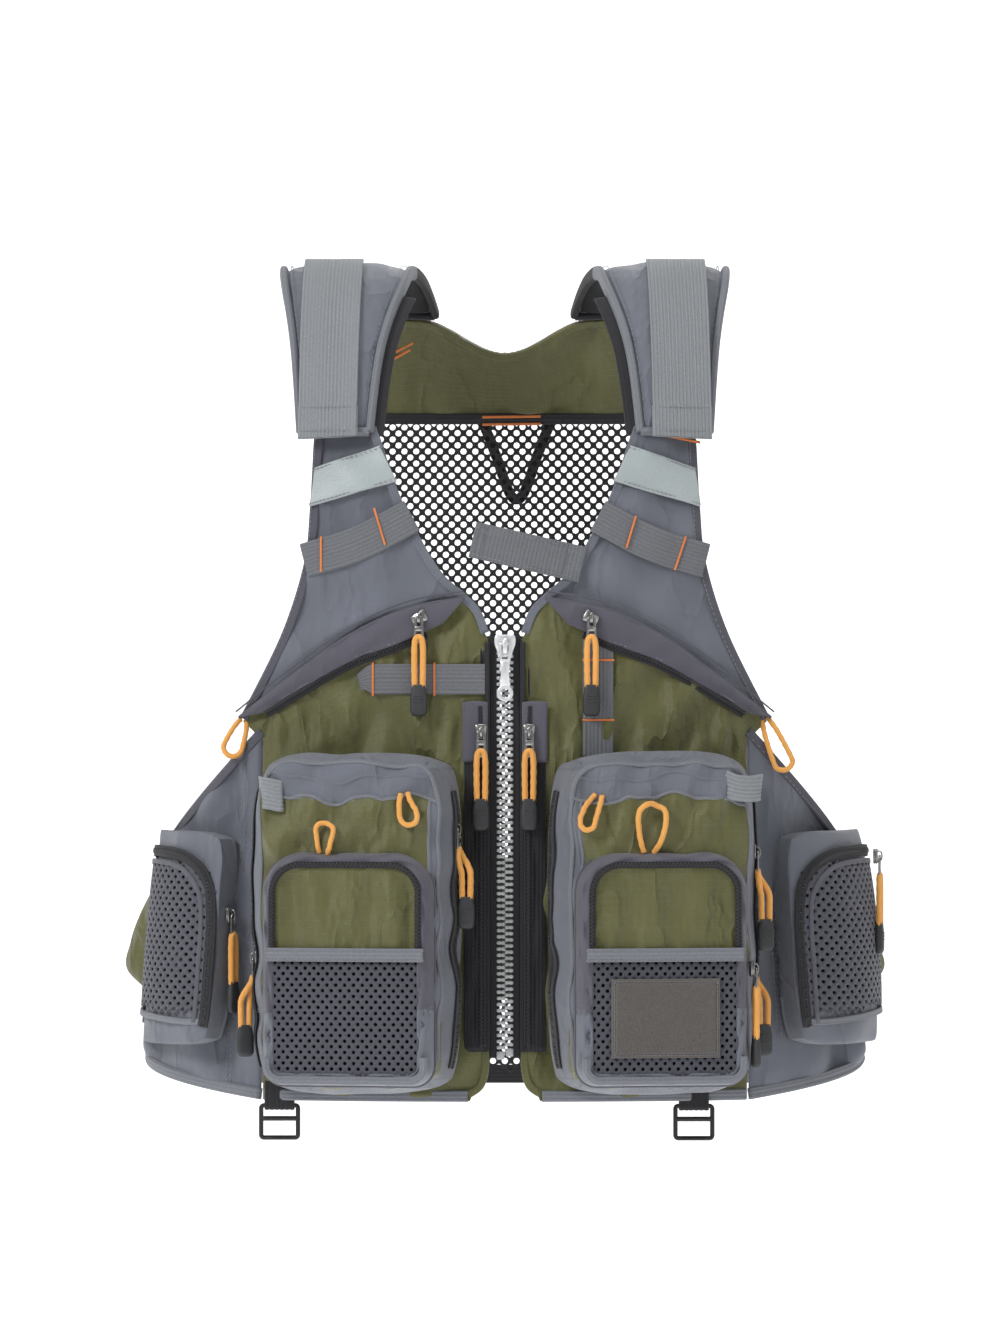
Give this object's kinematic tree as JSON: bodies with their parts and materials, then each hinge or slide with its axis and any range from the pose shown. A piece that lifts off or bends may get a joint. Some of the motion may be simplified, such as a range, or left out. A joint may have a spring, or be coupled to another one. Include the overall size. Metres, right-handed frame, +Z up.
{
  "type": "fishing vest",
  "caption": "Front-zip fishing vest with padded shoulders, mesh back, cargo, chest and side pockets, rear pouch, webbing loops and corded zip pulls.",
  "frame": {"origin": "midway between the shoulders, at the height of the undersides of the shoulder pads, where the wearer carries the vest", "axes": "+X towards the wearer's left, +Y towards the wearer's back, +Z up"},
  "size_m": [0.4986, 0.3571, 0.5787],
  "materials": {
    "grey_cloth": "plain woven nylon",
    "olive_cloth": "ripstop nylon",
    "black_mesh": "open hexagonal mesh",
    "grey_mesh": "spacer mesh",
    "webbing": "ribbed webbing",
    "black_cloth": "woven tape",
    "reflective": "reflective band",
    "felt": "hook-and-loop pile",
    "zip_metal": "nickel plated",
    "bright_metal": "bright lacquered",
    "cord": "braided cord with a moulded grip",
    "plastic": "moulded"
  },
  "bodies": {
    "vest": {"back_yoke": "olive_cloth", "back_mesh": "black_mesh", "back_pouch": "olive_cloth", "net_hanger": "black_mesh", "front_yoke_right": "grey_cloth", "chest_panel_right": "olive_cloth", "side_panel_right": "grey_cloth", "reflective_band_right": "reflective", "gear_webbing_right": "webbing", "shoulder_pad_right": "grey_cloth", "shoulder_webbing_right": "webbing", "zip_teeth_right": "zip_metal", "zip_tape_right": "black_cloth", "cargo_pocket_right": "olive_cloth", "front_pocket_right": "grey_mesh", "inner_pocket_right": "black_cloth", "side_pocket_right": "grey_mesh", "front_yoke_left": "grey_cloth", "chest_panel_left": "olive_cloth", "side_panel_left": "grey_cloth", "reflective_band_left": "reflective", "gear_webbing_left": "webbing", "shoulder_pad_left": "grey_cloth", "shoulder_webbing_left": "webbing", "zip_teeth_left": "zip_metal", "zip_tape_left": "black_cloth", "cargo_pocket_left": "olive_cloth", "front_pocket_left": "grey_mesh", "inner_pocket_left": "black_cloth", "side_pocket_left": "grey_mesh", "chest_webbing_right": "webbing", "chest_webbing_left": "webbing", "fly_patch": "felt"},
    "main_slider": {"main_slider": "bright_metal"},
    "main_puller": {"main_puller": "bright_metal"},
    "slider_cargo_inner_right": {"slider_cargo_inner_right": "zip_metal"},
    "pull_cargo_inner_right": {"pull_cargo_inner_right": "cord"},
    "slider_cargo_outer_right": {"slider_cargo_outer_right": "zip_metal"},
    "pull_cargo_outer_right": {"pull_cargo_outer_right": "cord"},
    "slider_cargo_upper_left": {"slider_cargo_upper_left": "zip_metal"},
    "pull_cargo_upper_left": {"pull_cargo_upper_left": "cord"},
    "slider_cargo_lower_left": {"slider_cargo_lower_left": "zip_metal"},
    "pull_cargo_lower_left": {"pull_cargo_lower_left": "cord"},
    "slider_side_right": {"slider_side_right": "zip_metal"},
    "pull_side_right": {"pull_side_right": "cord"},
    "slider_side_left": {"slider_side_left": "zip_metal"},
    "pull_side_left": {"pull_side_left": "cord"},
    "slider_front_pocket_left": {"slider_front_pocket_left": "zip_metal"},
    "pull_front_pocket_left": {"pull_front_pocket_left": "cord"},
    "slider_inner_right": {"slider_inner_right": "zip_metal"},
    "pull_inner_right": {"pull_inner_right": "cord"},
    "slider_inner_left": {"slider_inner_left": "zip_metal"},
    "pull_inner_left": {"pull_inner_left": "cord"},
    "slider_chest_right": {"slider_chest_right": "zip_metal"},
    "pull_chest_right": {"pull_chest_right": "cord"},
    "slider_chest_left": {"slider_chest_left": "zip_metal"},
    "pull_chest_left": {"pull_chest_left": "cord"},
    "rod_tab": {"rod_tab": "webbing"},
    "buckle_right": {"buckle_right": "plastic"},
    "buckle_left": {"buckle_left": "plastic"}
  },
  "joints": [
    {"name": "main_zip_slide", "type": "slide", "parent": "vest", "child": "main_slider", "axis": [0, 0, 1], "range_m": [-0.258, 0]},
    {"name": "main_puller_swing", "type": "hinge", "parent": "main_slider", "child": "main_puller", "pos_m": [0, -0.1214, -0.2445], "axis": [-1, 0, 0], "range_deg": [0, 150]},
    {"name": "cargo_inner_right_zip_slide", "type": "slide", "parent": "vest", "child": "slider_cargo_inner_right", "axis": [0, 0, 1], "range_m": [-0.11, 0.014]},
    {"name": "cargo_inner_right_pull_swing", "type": "hinge", "parent": "slider_cargo_inner_right", "child": "pull_cargo_inner_right", "pos_m": [-0.02985, -0.14326, -0.363], "axis": [-0.2878, -0.9577, 0], "range_deg": [0, 150]},
    {"name": "cargo_outer_right_zip_slide", "type": "slide", "parent": "vest", "child": "slider_cargo_outer_right", "axis": [0, 0, 1], "range_m": [-0.055, 0.09]},
    {"name": "cargo_outer_right_pull_swing", "type": "hinge", "parent": "slider_cargo_outer_right", "child": "pull_cargo_outer_right", "pos_m": [-0.16368, -0.11812, -0.44697], "axis": [0.0263, 0.9997, 0], "range_deg": [0, 150]},
    {"name": "cargo_upper_left_zip_slide", "type": "slide", "parent": "vest", "child": "slider_cargo_upper_left", "axis": [0, 0, 1], "range_m": [-0.11, 0.03]},
    {"name": "cargo_upper_left_pull_swing", "type": "hinge", "parent": "slider_cargo_upper_left", "child": "pull_cargo_upper_left", "pos_m": [0.1639, -0.1248, -0.37798], "axis": [0.0236, -0.9997, 0], "range_deg": [0, 150]},
    {"name": "cargo_lower_left_zip_slide", "type": "slide", "parent": "vest", "child": "slider_cargo_lower_left", "axis": [0, 0, 1], "range_m": [-0.055, 0.09]},
    {"name": "cargo_lower_left_pull_swing", "type": "hinge", "parent": "slider_cargo_lower_left", "child": "pull_cargo_lower_left", "pos_m": [0.16339, -0.10702, -0.44695], "axis": [0.0263, -0.9997, 0], "range_deg": [0, 150]},
    {"name": "side_right_zip_slide", "type": "slide", "parent": "vest", "child": "slider_side_right", "axis": [0, 0, 1], "range_m": [-0.055, 0.012]},
    {"name": "side_right_pull_swing", "type": "hinge", "parent": "slider_side_right", "child": "pull_side_right", "pos_m": [-0.17721, -0.09356, -0.41993], "axis": [-0.4971, -0.8677, 0], "range_deg": [0, 14]},
    {"name": "side_left_zip_slide", "type": "slide", "parent": "vest", "child": "slider_side_left", "axis": [-0.1819, -0.9833, 0], "range_m": [0, 0.018]},
    {"name": "side_left_pull_swing", "type": "hinge", "parent": "slider_side_left", "child": "pull_side_left", "pos_m": [0.24712, -0.04136, -0.38272], "axis": [-0.1819, -0.9833, 0], "range_deg": [0, 150]},
    {"name": "front_pocket_left_zip_slide", "type": "slide", "parent": "vest", "child": "slider_front_pocket_left", "axis": [0, 0, 1], "range_m": [-0.06, 0.06]},
    {"name": "front_pocket_left_pull_swing", "type": "hinge", "parent": "slider_front_pocket_left", "child": "pull_front_pocket_left", "pos_m": [0.16187, -0.14867, -0.45272], "axis": [0.1807, -0.9835, 0], "range_deg": [0, 150]},
    {"name": "inner_right_zip_slide", "type": "slide", "parent": "vest", "child": "slider_inner_right", "axis": [0, 0, 1], "range_m": [-0.17, 0]},
    {"name": "inner_right_pull_swing", "type": "hinge", "parent": "slider_inner_right", "child": "pull_inner_right", "pos_m": [-0.01562, -0.12515, -0.3], "axis": [-1, 0, 0], "range_deg": [0, 150]},
    {"name": "inner_left_zip_slide", "type": "slide", "parent": "vest", "child": "slider_inner_left", "axis": [0, 0, 1], "range_m": [-0.17, 0]},
    {"name": "inner_left_pull_swing", "type": "hinge", "parent": "slider_inner_left", "child": "pull_inner_left", "pos_m": [0.01562, -0.12515, -0.3], "axis": [-1, 0, 0], "range_deg": [0, 150]},
    {"name": "chest_right_zip_slide", "type": "slide", "parent": "vest", "child": "slider_chest_right", "axis": [-0.8881, 0.1615, -0.4304], "range_m": [0, 0.054]},
    {"name": "chest_right_pull_swing", "type": "hinge", "parent": "slider_chest_right", "child": "pull_chest_right", "pos_m": [-0.05602, -0.12292, -0.226], "axis": [-0.9952, 0.0982, 0], "range_deg": [0, 150]},
    {"name": "chest_left_zip_slide", "type": "slide", "parent": "vest", "child": "slider_chest_left", "axis": [0.8881, 0.1615, -0.4304], "range_m": [0, 0.054]},
    {"name": "chest_left_pull_swing", "type": "hinge", "parent": "slider_chest_left", "child": "pull_chest_left", "pos_m": [0.05602, -0.12292, -0.226], "axis": [-0.9952, -0.0982, 0], "range_deg": [0, 90]},
    {"name": "rod_tab_flip", "type": "hinge", "parent": "vest", "child": "rod_tab", "pos_m": [0.05047, -0.11748, -0.19165], "axis": [0.225, 0, 0.9744], "range_deg": [0, 150]},
    {"name": "buckle_right_swing", "type": "hinge", "parent": "vest", "child": "buckle_right", "pos_m": [-0.147, -0.09535, -0.5439], "axis": [-1, 0, 0], "range_deg": [-70, 70]},
    {"name": "buckle_left_swing", "type": "hinge", "parent": "vest", "child": "buckle_left", "pos_m": [0.123, -0.10261, -0.5439], "axis": [-1, 0, 0], "range_deg": [-70, 70]}
  ]
}
